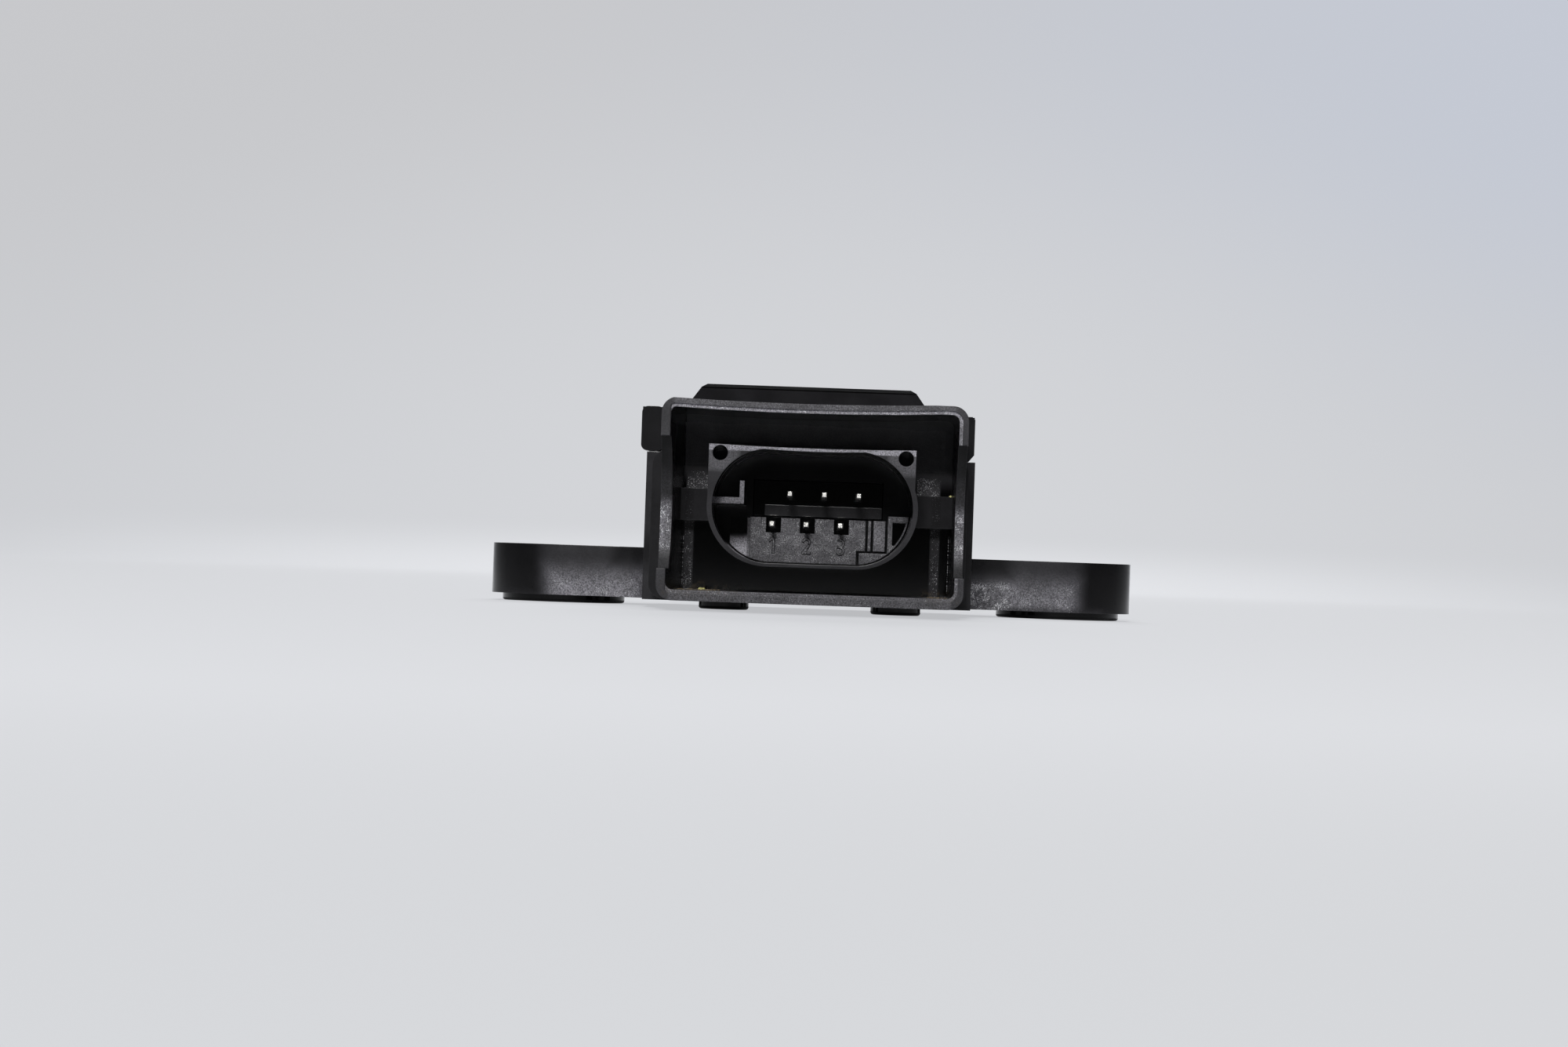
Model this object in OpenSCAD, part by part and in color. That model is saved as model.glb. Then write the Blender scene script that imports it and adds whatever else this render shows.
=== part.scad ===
// Car acceleration and yaw-rate sensor with a plug collar, two mounting ears and a lid.
// Z = 0 is the face that the pads rest on, the bolt axes stand at Y = 0,
// and the plug opening faces -Y.

/* [Mounting ears] */
// distance between the two bolt axes
bolt_spacing = 62; // [58:0.5:68]
// thickness of an ear
ear_t = 6.2; // [5:0.1:7.5]
// radius of the round end of an ear
ear_r = 9; // [8.6:0.1:10]
// radius of the hollow where an ear meets the tub
ear_root_r = 2.5; // [1:0.1:4]
// diameter of the round pad under an ear
pad_d = 15.3; // [12:0.1:17]
// how far the pads and feet stand out below the ears
pad_h = 0.9; // [0.5:0.05:1.5]
// outer diameter of the steel sleeve in an ear
bush_d = 9.2; // [8.2:0.1:10.5]
// bore of the steel sleeve
bush_bore_d = 6.6; // [6.4:0.1:7]
// distance between the middles of the two round feet
foot_spacing = 20.6; // [16:0.1:24]
// diameter of a round foot
foot_d = 6; // [4:0.1:8]
// rounding of the lower edge of pads and feet
pad_edge_r = 0.35; // [0.1:0.05:0.6]
// bevel at the ends of a sleeve's bore
bush_bevel = 0.4; // [0.2:0.05:0.6]

/* [Tub] */
// from the bolt axes to the rim of the plug collar
rim_reach = 43; // [40:0.5:46]
// from the bolt axes to the back of the tub
rear_reach = 15; // [13:0.5:20]
// left side of the tub from the middle
tub_left = 19.95; // [19.4:0.05:21]
// right side of the tub from the middle
tub_right = 19.1; // [18.8:0.1:20.5]
// height at which the lid's skirt starts
tub_top_z = 18.5; // [17.5:0.1:19]
// thickness of the tub's floor
tub_floor_t = 2; // [1.5:0.1:3]
// half the width of the electronics space
well_half_w = 16.2; // [15.8:0.1:16.4]
// half the width of the raised wall that the lid closes over
spigot_half_w = 17.9; // [17.7:0.1:18]
// height of the top of that raised wall
spigot_top_z = 21; // [20.6:0.1:21.2]
// thickness of the tub's back wall
rear_wall_t = 2.9; // [2.4:0.1:3.4]
// radius of the upright rear corners
rear_corner_r = 2; // [0.5:0.1:2.4]

/* [Outer collar] */
// outer width of the collar
collar_w = 34.8; // [33.8:0.1:35.4]
// outer height of the collar
collar_h = 23.05; // [22.6:0.05:23.4]
// height of the collar's underside
collar_z = 1.1; // [0.9:0.05:1.4]
// outer corner radius of the collar
collar_r = 1.8; // [1.2:0.1:2.4]
// thickness of the collar's side walls
collar_side_t = 1.05; // [0.9:0.05:1.4]
// thickness of the collar's bottom wall
collar_flat_t = 1.24; // [1:0.02:1.6]
// thickness of the collar's top wall
collar_top_t = 0.98; // [0.9:0.02:1.6]
// inner corner radius of the collar
collar_in_r = 0.85; // [0.5:0.05:1.2]
// depth of the space inside the collar
collar_depth = 18; // [16:0.5:19]
// how far the outside of the top wall sags at its middle
sag_out = 0.34; // [0.1:0.02:0.4]
// how far the inside of the top wall sags at its middle
sag_in = 0.42; // [0.1:0.02:0.5]
// how far the lowest point of the sag lies left of the middle
sag_shift = 2; // [0:0.5:3]
// width of the fine step around the inside of the rim
lip_w = 0.4; // [0.2:0.05:0.6]
// depth of that step
lip_depth = 0.3; // [0.1:0.05:0.6]
// bottom of the notch in each side wall
notch_z0 = 4.7; // [4:0.1:6]
// top of the notch in each side wall
notch_z1 = 19.75; // [17:0.05:20.5]
// greatest depth of the notch in each side wall
notch_depth = 5.2; // [2:0.1:6.5]
// radius of the scooped floor of those notches
notch_scoop_r = 13.5; // [12:0.5:30]
// height at which the scooped floor is deepest
notch_mid_z = 10.8; // [8:0.1:13]
// how far the left inner wall leans in at the floor of the space
wall_lean = 1.05; // [0.5:0.05:1.4]
// from the rim back to the shoulder around the collar
shoulder_back = 10; // [7:0.5:13]
// left side of the shoulder from the middle
shoulder_left = 18.75; // [18:0.1:19.2]
// right side of the shoulder from the middle
shoulder_right = 17.95; // [17.8:0.1:18.7]

/* [Inner collar] */
// from the outer rim back to the inner rim
inner_back = 3; // [1.5:0.1:5]
// outer width of the inner collar
inner_w = 24.1; // [23.4:0.1:24.6]
// lower edge of the inner collar
inner_z0 = 5.3; // [5.1:0.05:5.4]
// upper edge of the inner collar
inner_z1 = 19.1; // [19.1:0.05:19.5]
// width across the squared upper corners
inner_corner_w = 23.65; // [23.2:0.05:24]
// how far the squared top of the inner collar is shifted along X
inner_corner_x = -0.18; // [-0.3:0.02:0.2]
// width of the oval opening
oval_w = 22.95; // [22.6:0.05:23.1]
// height of the oval opening
oval_h = 13.04; // [12.6:0.02:13.1]
// middle height of the oval opening
oval_z = 12.22; // [12.05:0.01:12.25]
// how far the inner collar's top sags at its middle
inner_sag = 0.2; // [0.1:0.02:0.24]
// depth of the oval opening behind the outer rim
oval_depth = 19; // [18:0.5:20]
// distance between the two corner holes
core_spacing = 21.2; // [20.8:0.1:21.4]
// how far the two cored holes are shifted along X
core_x = -0.1; // [-0.3:0.02:0.2]
// height of the corner holes
core_z = 18.1; // [17.9:0.05:18.2]
// diameter of the corner holes
core_d = 1.75; // [1.4:0.05:1.8]
// depth of the corner holes
core_depth = 8; // [3:0.5:12]
// height of the webs between the collars
web_z0 = 10.45; // [9.5:0.05:11]
// upper edge of the webs
web_z1 = 14.2; // [13:0.05:15]
// how far the webs stand up from the floor of the space
web_h = 3; // [1:0.5:6]

/* [Key rib] */
// thickness of the upright arm of the key
key_t = 0.54; // [0.4:0.02:0.9]
// thickness of the flat arm of the key
key_arm_t = 0.74; // [0.5:0.02:0.9]
// height of the flat arm of the key
key_z = 12.8; // [12.2:0.02:13.4]
// from the middle to the tip of the flat arm
key_x = 8.2; // [7.8:0.05:8.6]
// height of the top of the upright arm
key_top_z = 15.1; // [14:0.1:15.6]
// from the outer rim back to the front of the key
key_back = 8; // [6:0.5:12]

/* [Pins] */
// distance between neighbouring pins in a row
pin_pitch = 4; // [3.9:0.02:4.1]
// thickness of a pin
pin_t = 0.64; // [0.5:0.02:0.8]
// middle of the lower row from the middle plane
low_row_x = -0.7; // [-0.8:0.02:-0.5]
// height of the lower row
low_row_z = 10.32; // [10.1:0.02:10.25]
// middle of the upper row from the middle plane
high_row_x = 1.32; // [1.2:0.02:1.5]
// height of the upper row
high_row_z = 13.82; // [13.6:0.02:13.9]
// from the outer rim back to the tips of the lower row
low_tip_back = 12; // [10:0.5:13]
// from the outer rim back to the tips of the upper row
high_tip_back = 9.5; // [8:0.5:12]
// length of a pin's pointed tip
tip_len = 0.5; // [0.3:0.05:1.2]
// width left at the very tip
tip_w = 0.46; // [0.16:0.02:0.5]

/* [Terminal carrier] */
// from the outer rim back to the carrier's numbered face
face_back = 16; // [15:0.5:17]
// height of the top of the numbered block
block_top_z = 11.08; // [11.04:0.01:11.12]
// left side of the numbered block
block_left = 7.3; // [7.1:0.05:7.5]
// gap between the carrier and the oval opening
carrier_gap = 0.12; // [0.08:0.01:0.18]
// width of the square openings around the lower pins
window_w = 1.75; // [1.4:0.05:1.9]
// how far the windows stand to the right of their pins
window_shift = 0.15; // [0:0.05:0.3]
// bottom of those openings
window_z0 = 9.33; // [9.1:0.01:9.5]
// depth of the openings around the lower pins
window_depth = 5.6; // [3.5:0.1:6]
// depth of the key slots and the D-shaped hole
slot_depth = 2.6; // [1.5:0.1:2.7]
// width of a key slot
slot_w = 0.3; // [0.2:0.02:0.4]
// left edge of the key area
key_left_x = 5.3; // [5:0.02:5.6]
// left edge of the first upright key slot
key_slot_x = 6.3; // [6.1:0.02:6.5]
// left edge of the second upright key slot
key_slot2_x = 6.95; // [6.7:0.02:7.2]
// height of the bottom of the key slots
key_floor_z = 7.27; // [7:0.01:7.6]
// left edge of the raised end with the D-shaped hole
end_x = 8.92; // [8.7:0.02:9.1]
// height of that raised end
end_top_z = 11.67; // [11.4:0.01:12]
// left edge of the D-shaped hole
end_hole_x = 9.46; // [9.3:0.02:9.7]
// bottom of the D-shaped hole
end_hole_z0 = 8.25; // [8:0.05:8.6]
// top of the D-shaped hole
end_hole_z1 = 10.94; // [10.6:0.02:11.2]
// left end of the ledge above the block
ledge_left = 5.67; // [5:0.01:6.4]
// height of the top of that ledge
ledge_top_z = 12.65; // [12.3:0.05:13]
// how far the ledge stands out of the floor of the oval opening
ledge_out = 0.6; // [0.3:0.05:1]
// height of the groove between block and ledge
groove_h = 0.28; // [0.15:0.01:0.4]
// depth of that groove
groove_depth = 1.8; // [0.5:0.1:2.2]
// left end of the flank beside the block
flank_left = 9.7; // [9.2:0.1:10.2]
// height of the top of that flank
flank_top_z = 11; // [8:0.1:12]
// depth of the shallow pocket that joins the openings
pocket_depth = 0.2; // [0.1:0.02:0.4]
// height of the numbers beside the lower pins
digit_h = 1.9; // [1.5:0.05:2.1]
// height of the middle of the numbers
digit_z = 7.86; // [7.7:0.02:8]
// how far the numbers stand out of the face
digit_raise = 0.18; // [0.05:0.01:0.2]
// thickness of the strokes of the numbers
digit_t = 0.26; // [0.2:0.01:0.32]

/* [Lid] */
// left side of the lid from the middle
lid_left = 20.7; // [20.4:0.05:21.2]
// right side of the lid from the middle
lid_right = 18.95; // [18.9:0.05:19.4]
// gap between the lid's skirt and the raised wall
lid_gap = 0.15; // [0.1:0.01:0.25]
// underside of the lid above the raised wall
lid_rest = 0.2; // [0.1:0.02:0.4]
// thickness of the lid's plate
lid_t = 2.7; // [2:0.1:3]
// middle of the raised platform from the middle plane
platform_x = -0.95; // [-1.5:0.05:-0.5]
// width of the platform at its foot
platform_w = 29.7; // [27:0.1:31]
// width of the platform at its top
platform_top_w = 25.3; // [22:0.1:26]
// height of the platform
platform_h = 3.15; // [2.4:0.05:4]
// how far the platform's front and back lean in
platform_lean = 2.2; // [0.2:0.1:3]
// bevel along the platform's upper edges
platform_bevel = 0.4; // [0.2:0.05:0.8]
// from the lid's front edge back to the platform
platform_back = 0.9; // [0.5:0.1:3]
// length of the platform
platform_len = 30; // [24:0.5:33]

/* [Electronics] */
// thickness of the circuit board
board_t = 1.6; // [1:0.1:1.8]
// height of the board's underside
board_z = 6.2; // [5.8:0.1:6.4]
// gap between the board's edge and the tub
board_gap = 0.6; // [0.3:0.05:1]
// diameter of the posts that hold the board
post_d = 2; // [1.6:0.1:2.4]
// diameter of the rounded-over heads on the posts
post_head_d = 3; // [2.8:0.1:3.4]
// thickness of those heads
post_head_t = 0.6; // [0.4:0.05:0.9]
// how far the terminal tails reach below the board
tail_out = 1.2; // [0.8:0.1:1.6]

/* [Hidden] */
$fn = 64;
rim_y = -rim_reach;
floor_y = rim_y + collar_depth;
oval_y = rim_y + oval_depth;
bulkhead_y = floor_y + 3.5;
well_y0 = bulkhead_y + 1.8;
tub_y = floor_y + 2;
well_y1 = rear_reach - rear_wall_t;
ear_z0 = pad_h;
ear_z1 = pad_h + ear_t;
ear_x = bolt_spacing / 2;
well_z = ear_z0 + tub_floor_t;
collar_x = collar_w / 2;
collar_z1 = collar_z + collar_h;
in_x = collar_x - collar_side_t;
in_z0 = collar_z + collar_flat_t;
in_z1 = collar_z1 - collar_top_t;
oval_r = oval_h / 2;
oval_x = oval_w / 2 - oval_r;
inner_r = (inner_z1 - inner_z0) / 2;
inner_z = (inner_z0 + inner_z1) / 2;
pin_xs = [for (i = [-1 : 1]) i * pin_pitch];
face_y = rim_y + face_back;
ledge_y = oval_y - ledge_out;
throat_x0 = -7.1;
throat_x1 = 8.3;
throat_z0 = 7.6;
throat_z1 = 15.6;
carrier_rear_y = well_y0 + 0.5;
board_y0 = carrier_rear_y + 0.4;
board_y1 = well_y1 - board_gap;
board_x = well_half_w - board_gap;
board_top = board_z + board_t;
board_mid_y = (board_y0 + board_y1) / 2;
low_tail_y = board_y0 + 2.2;
high_tail_y = low_tail_y + 2.54;
tail_hole_d = pin_t * 1.75;
lid_z = spigot_top_z + lid_rest;
lid_top = lid_z + lid_t;
bead_w = 0.8;
bead_mid = (well_half_w + spigot_half_w) / 2;
bead_depth = 0.8;
post_xs = [-board_x + 2.2, board_x - 2.2];
post_ys = [board_y0 + 8, board_y1 - 2.4];

black = [0.1, 0.1, 0.105];
dark = [0.07, 0.07, 0.075];
steel = [0.62, 0.62, 0.6];
tin = [0.8, 0.79, 0.74];
green = [0.05, 0.28, 0.13];

// a box given by its two corners
module box(x0, x1, y0, y1, z0, z1) {
    translate([x0, y0, z0]) cube([x1 - x0, y1 - y0, z1 - z0]);
}

// a flat outline drawn in X and Z, run from y0 to y1
module run_y(y0, y1) {
    translate([0, y1, 0]) rotate([90, 0, 0]) linear_extrude(y1 - y0) children();
}

// a flat outline drawn in Y and Z, run from x0 to x1
module run_x(x0, x1) {
    translate([x0, 0, 0]) rotate([90, 0, 90]) linear_extrude(x1 - x0) children();
}

// a plan outline with round corners at the rear, raised from z0 to z1
module rear_round(x0, x1, y0, y1, z0, z1) {
    r = rear_corner_r;
    translate([0, 0, z0]) linear_extrude(z1 - z0) {
        translate([x0, y0]) square([x1 - x0, y1 - y0 - r]);
        translate([x0 + r, y0]) square([x1 - x0 - 2 * r, y1 - y0]);
        for (x = [x0 + r, x1 - r]) translate([x, y1 - r]) circle(r);
    }
}

// a round pad standing on Z = 0, its lower edge rounded
module round_pad(d, h) {
    r = pad_edge_r;
    rotate_extrude() {
        square([d / 2 - r, h]);
        translate([0, r]) square([d / 2, h - r]);
        translate([d / 2 - r, r]) circle(r, $fn = 32);
    }
}

// a rectangle with round corners
module round_rect(x0, x1, z0, z1, r) {
    translate([x0 + r, z0]) square([x1 - x0 - 2 * r, z1 - z0]);
    translate([x0, z0 + r]) square([x1 - x0, z1 - z0 - 2 * r]);
    for (x = [x0 + r, x1 - r], z = [z0 + r, z1 - r]) translate([x, z]) circle(r);
}

// the oval of the opening, grown or shrunk by d
module oval(d) {
    for (s = [-1, 1]) translate([s * oval_x, oval_z]) circle(oval_r + d);
    translate([-oval_x, oval_z - oval_r - d]) square([2 * oval_x, 2 * (oval_r + d)]);
}

// the outline of the inner collar: round below, squared above
module inner_outline() {
    reach = inner_w / 2 - inner_r;
    for (s = [-1, 1]) translate([s * reach, inner_z]) circle(inner_r);
    translate([-reach, inner_z0]) square([2 * reach, 2 * inner_r]);
    translate([inner_corner_x - inner_corner_w / 2, inner_z])
        square([inner_corner_w, inner_z1 - inner_z]);
}

// the shallow round hollow that makes a top face sag by s over half a width of x
module sag(x, z, s, y0, y1, shift = 0) {
    r = (x * x + s * s) / (2 * s);
    translate([-shift, y0, z - s + r]) rotate([-90, 0, 0]) cylinder(h = y1 - y0, r = r, $fn = 720);
}

// the outside of collar, shoulder and tub
module shell_body() {
    run_y(rim_y, bulkhead_y) round_rect(-collar_x, collar_x, collar_z, collar_z1, collar_r);
    run_y(rim_y + shoulder_back, bulkhead_y)
        round_rect(-shoulder_left, shoulder_right, collar_z, tub_top_z, collar_r);
    rear_round(-tub_left, tub_right, tub_y, rear_reach, ear_z0, tub_top_z);
    box(-spigot_half_w, spigot_half_w, tub_y, rear_reach - 1.2, ear_z0, spigot_top_z);
}

// one ear with its pad, on the side s
module ear(s) {
    translate([s * ear_x, 0, ear_z0]) cylinder(h = ear_t, r = ear_r);
    translate([s * ear_x, 0, 0]) round_pad(pad_d, pad_h + 0.5);
    edge = s < 0 ? tub_left : tub_right;
    difference() {
        x0 = min(s * ear_x, s * (edge - 1));
        x1 = max(s * ear_x, s * (edge - 1));
        far = ear_r + ear_root_r;
        union() {
            box(x0, x1, -ear_r, ear_r, ear_z0, ear_z1);
            box(min(s * edge, s * (edge + ear_root_r)), max(s * edge, s * (edge + ear_root_r)),
                -far, min(far, rear_reach), ear_z0, ear_z1);
        }
        for (t = [-1, 1])
            translate([s * (edge + ear_root_r), t * far, ear_z0 - 1])
                cylinder(h = ear_t + 2, r = ear_root_r);
    }
}

// the space between the two collars
module collar_space() {
    difference() {
        union() {
            run_y(rim_y - 1, floor_y) round_rect(-in_x, in_x, in_z0, in_z1, collar_in_r);
            run_y(rim_y - 1, rim_y + lip_depth)
                round_rect(-in_x - lip_w, in_x + lip_w, in_z0 - lip_w, in_z1 + lip_w,
                           collar_in_r + lip_w);
        }
        sag(in_x, in_z1 + lip_w, sag_in, rim_y - 2, rim_y + lip_depth, sag_shift);
        sag(in_x, in_z1, sag_in, rim_y + lip_depth, floor_y + 1, sag_shift);
        difference() {
            run_y(rim_y + inner_back, floor_y + 1) inner_outline();
            sag(inner_corner_w / 2, inner_z1, inner_sag, rim_y, floor_y);
        }
        run_y(floor_y - web_h, floor_y + 1)
            translate([-in_x - 1, web_z0]) square([2 * in_x + 2, web_z1 - web_z0]);
        // the left wall leans in towards the floor
        translate([-in_x, rim_y + lip_depth, in_z0 - 1])
            rotate([0, 0, -atan(wall_lean / (collar_depth - lip_depth))])
                translate([-3, -1, 0]) cube([3, collar_depth + 3, collar_h]);
    }
}

// one notch through both side walls, its floor scooped to a large radius
module side_notch() {
    floor_of_notch = rim_y + notch_depth;
    intersection() {
        difference() {
            box(-collar_x - 1, collar_x + 1, rim_y - 1, floor_of_notch, notch_z0, notch_z1);
            box(-in_x + 1.5, in_x - 1.5, rim_y - 2, floor_of_notch + 1, notch_z0 - 1, notch_z1 + 1);
        }
        translate([-collar_x - 2, floor_of_notch - notch_scoop_r, notch_mid_z])
            rotate([0, 90, 0]) cylinder(h = collar_w + 4, r = notch_scoop_r, $fn = 360);
    }
}

// the L-shaped key rib on the left of the oval opening
module key_rib() {
    run_y(rim_y + key_back, oval_y + 1) intersection() {
        oval(0.2);
        union() {
            translate([-oval_w, key_z - key_arm_t / 2])
                square([oval_w - key_x + key_t / 2, key_arm_t]);
            translate([-key_x - key_t / 2, key_z - key_arm_t / 2])
                square([key_t, key_top_z - key_z + key_arm_t / 2]);
        }
    }
}

module housing() {
    color(black) {
        difference() {
            union() {
                shell_body();
                for (s = [-1, 1]) ear(s);
                for (s = [-1, 1])
                    translate([s * foot_spacing / 2, tub_y + foot_d / 2 + 0.5, 0])
                        round_pad(foot_d, ear_z0 + 1);
            }
            sag(collar_x - collar_r, collar_z1, sag_out, rim_y - 1, bulkhead_y + 0.01, sag_shift);
            collar_space();
            side_notch();
            difference() {
                run_y(rim_y, oval_y) oval(0);
                sag(oval_x + 2, oval_z + oval_r, inner_sag, rim_y - 1, oval_y + 1);
                key_rib();
            }
            for (s = [-1, 1])
                translate([core_x + s * core_spacing / 2, rim_y + inner_back - 1, core_z])
                    rotate([-90, 0, 0]) cylinder(h = core_depth + 1, d = core_d);
            box(throat_x0, throat_x1, oval_y - 1, well_y0 + 1, throat_z0, throat_z1);
            box(-well_half_w, well_half_w, well_y0, well_y1, well_z, spigot_top_z + 5);
            box(-collar_x - 3, collar_x + 3, bulkhead_y, rear_reach, spigot_top_z, collar_z1 + 1);
            bead(spigot_top_z - bead_depth, spigot_top_z + 1);
            for (s = [-1, 1])
                translate([s * ear_x, 0, -1]) cylinder(h = ear_z1 + 2, d = bush_d);
        }
        for (x = post_xs, y = post_ys) board_post(x, y);
    }
}

// one post: a wide foot, a neck through the board and a rounded-over head
module board_post(x, y) {
    translate([x, y, well_z - 0.5]) cylinder(h = board_z - well_z + 0.5, d = post_d + 2);
    translate([x, y, board_z - 0.1]) cylinder(h = board_t + 0.2, d = post_d);
    translate([x, y, board_top]) cylinder(h = post_head_t, d = post_head_d);
}

// the ring that the bead of sealant fills
module bead(z0, z1) {
    b = bead_w / 2;
    y0 = (bulkhead_y + well_y0) / 2;
    y1 = (well_y1 + rear_reach - 1.2) / 2;
    difference() {
        box(-bead_mid - b, bead_mid + b, y0 - b, y1 + b, z0, z1);
        box(-bead_mid + b, bead_mid - b, y0 + b, y1 - b, z0 - 1, z1 + 1);
    }
}

module cover_seal() {
    color(dark) bead(spigot_top_z - bead_depth, lid_z);
}

// the sloping-sided outline of the raised platform, w0 wide below and w1 above
module platform_outline(w0, w1, z0, z1) {
    c = platform_bevel;
    slope = (w0 - w1) / 2 / (z1 - z0);
    polygon([[-w0 / 2, z0], [w0 / 2, z0], [w1 / 2 + slope * c, z1 - c], [w1 / 2 - c, z1],
             [c - w1 / 2, z1], [-w1 / 2 - slope * c, z1 - c]]);
}

// the platform, or with an inset the hollow under it
module platform(y0, inset, z0, z1) {
    w = 2 * inset;
    len = platform_len - w;
    intersection() {
        run_y(y0, y0 + platform_len) translate([platform_x, 0])
            platform_outline(platform_w - w, platform_top_w - w, z0, z1);
        run_x(-lid_left, lid_right) translate([y0 + platform_len / 2, 0])
            platform_outline(len, len - 2 * platform_lean, z0, z1);
    }
}

module cover() {
    front = bulkhead_y + lid_gap;
    skirt_in = spigot_half_w + lid_gap;
    skirt_z = tub_top_z + 0.1;
    back = rear_reach + 0.1;
    corner = 0.75;
    edge = 0.3;
    color(black) difference() {
        intersection() {
            union() {
                box(-lid_left, lid_right, front, back, lid_z, lid_top);
                // the side skirts reach forward past the plate, outside the collar
                run_y(tub_y, back) round_rect(-lid_left, -skirt_in, skirt_z, lid_top, corner);
                run_y(tub_y, back) translate([skirt_in, skirt_z + corner])
                    square([lid_right - skirt_in, lid_top - skirt_z - corner - edge]);
                run_y(tub_y, back) polygon([
                    [skirt_in, skirt_z], [skirt_in + edge, skirt_z],
                    [lid_right, skirt_z + corner], [skirt_in, skirt_z + corner]]);
                run_y(tub_y, back) translate([skirt_in, lid_top - edge])
                    square([lid_right - skirt_in - edge, edge]);
                box(-lid_left, lid_right, rear_reach - 1.2 + lid_gap, back, skirt_z, lid_top);
                platform(front + platform_back, 0, lid_top - 0.1, lid_top + platform_h);
            }
            rear_round(-lid_left, lid_right, tub_y - 1, back, 0, lid_top + platform_h + 1);
        }
        platform(front + platform_back, 2, lid_z - 1, lid_top + platform_h - 2);
    }
}

// the strokes of the number n, drawn about its own middle
module digit(n) {
    h = digit_h / 2;
    t = digit_t;
    r = digit_h * 0.27;
    if (n == 1) {
        translate([0, -h]) square([t, 2 * h]);
        polygon([[0, h], [0, h - 1.4 * t], [-1.6 * t, h - 2.4 * t], [-1.6 * t, h - 1.3 * t]]);
    }
    if (n == 2) {
        difference() {
            translate([0, h - r]) circle(r);
            translate([0, h - r]) circle(r - t);
            translate([-2 * r, -h]) square([2 * r, 2 * h - r]);
            translate([-r, h - 2.2 * r]) square([2.2 * r, 0.8 * r]);
        }
        polygon([[r - 0.3 * t, h - 1.6 * r], [r - t, h - 1.5 * r], [-r, -h + t], [-r, -h],
                 [-r + 1.3 * t, -h]]);
        translate([-r, -h]) square([2 * r, t]);
    }
    if (n == 3) {
        for (s = [-1, 1]) difference() {
            translate([0, s * (h - r)]) circle(r);
            translate([0, s * (h - r)]) circle(r - t);
            translate([-2 * r, s * (h - r) - 0.6 * r]) square([2 * r, 1.2 * r]);
        }
    }
}

// the slots of the key area on the right of the block
module key_slots() {
    y0 = face_y - 1;
    y1 = face_y + slot_depth;
    z1 = block_top_z + 1;
    for (x = [key_slot_x, key_slot2_x, end_x - slot_w])
        box(x, x + slot_w, y0, y1, key_floor_z, z1);
    box(key_left_x, end_x, y0, y1, key_floor_z, key_floor_z + slot_w * 0.8);
    box(key_left_x, key_left_x + slot_w, y0, y1, oval_z - oval_r, key_floor_z);
}

// the fine pocket that joins the openings around the lower pins
module shallow_pocket(lower) {
    x0 = lower[0] - 0.94;
    x1 = lower[2] + 1.22;
    run_y(face_y - 1, face_y + pocket_depth) {
        translate([x0 - 0.35, low_row_z]) square([x1 - x0 + 0.7, 2]);
        translate([x0, low_row_z - 0.35]) square([x1 - x0, 1]);
        for (x = [x0, x1]) translate([x, low_row_z]) circle(0.35);
    }
}

// the numbered block that fills the bottom of the oval opening
module numbered_block(lower) {
    difference() {
        run_y(face_y, oval_y) intersection() {
            oval(-carrier_gap);
            union() {
                translate([-block_left, 0]) square([block_left + end_x, block_top_z]);
                translate([end_x, 0]) square([oval_w, end_top_z]);
            }
        }
        shallow_pocket(lower);
        key_slots();
        run_y(face_y - 1, face_y + slot_depth) intersection() {
            oval(-0.3);
            translate([end_hole_x, end_hole_z0]) square([oval_w, end_hole_z1 - end_hole_z0]);
        }
    }
}

module terminal_carrier() {
    lower = [for (x = pin_xs) x + low_row_x];
    upper = [for (x = pin_xs) x + high_row_x];
    g = carrier_gap;
    color(dark) difference() {
        union() {
            numbered_block(lower);
            run_y(face_y + 2, oval_y) intersection() {
                oval(-g);
                translate([-flank_left, 0]) square([flank_left - 1, flank_top_z]);
            }
            // ledge above the block, and the body that holds the pins in the throat
            box(-ledge_left, throat_x1 - g, ledge_y, oval_y + 1, block_top_z - 1, ledge_top_z);
            box(throat_x0 + g, throat_x1 - g, oval_y, carrier_rear_y, throat_z0 + g, throat_z1 - g);
        }
        box(-block_left - 1, end_x, oval_y - 1, ledge_y + groove_depth,
            block_top_z, block_top_z + groove_h);
        for (x = lower + [for (i = lower) window_shift])
            box(x - window_w / 2, x + window_w / 2, face_y - 1, face_y + window_depth,
                window_z0, block_top_z + groove_h / 2);
        for (x = lower) pin_bar(x, low_row_z, face_y - 1, carrier_rear_y + 1);
        for (x = upper) pin_bar(x, high_row_z, face_y - 1, carrier_rear_y + 1);
    }
    color(dark) run_y(face_y - digit_raise, face_y) for (i = [0 : 2])
        translate([lower[i] + 0.1, digit_z]) digit(i + 1);
}

// a straight square bar along Y
module pin_bar(x, z, y0, y1) {
    h = pin_t / 2;
    box(x - h, x + h, y0, y1, z - h, z + h);
}

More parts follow.
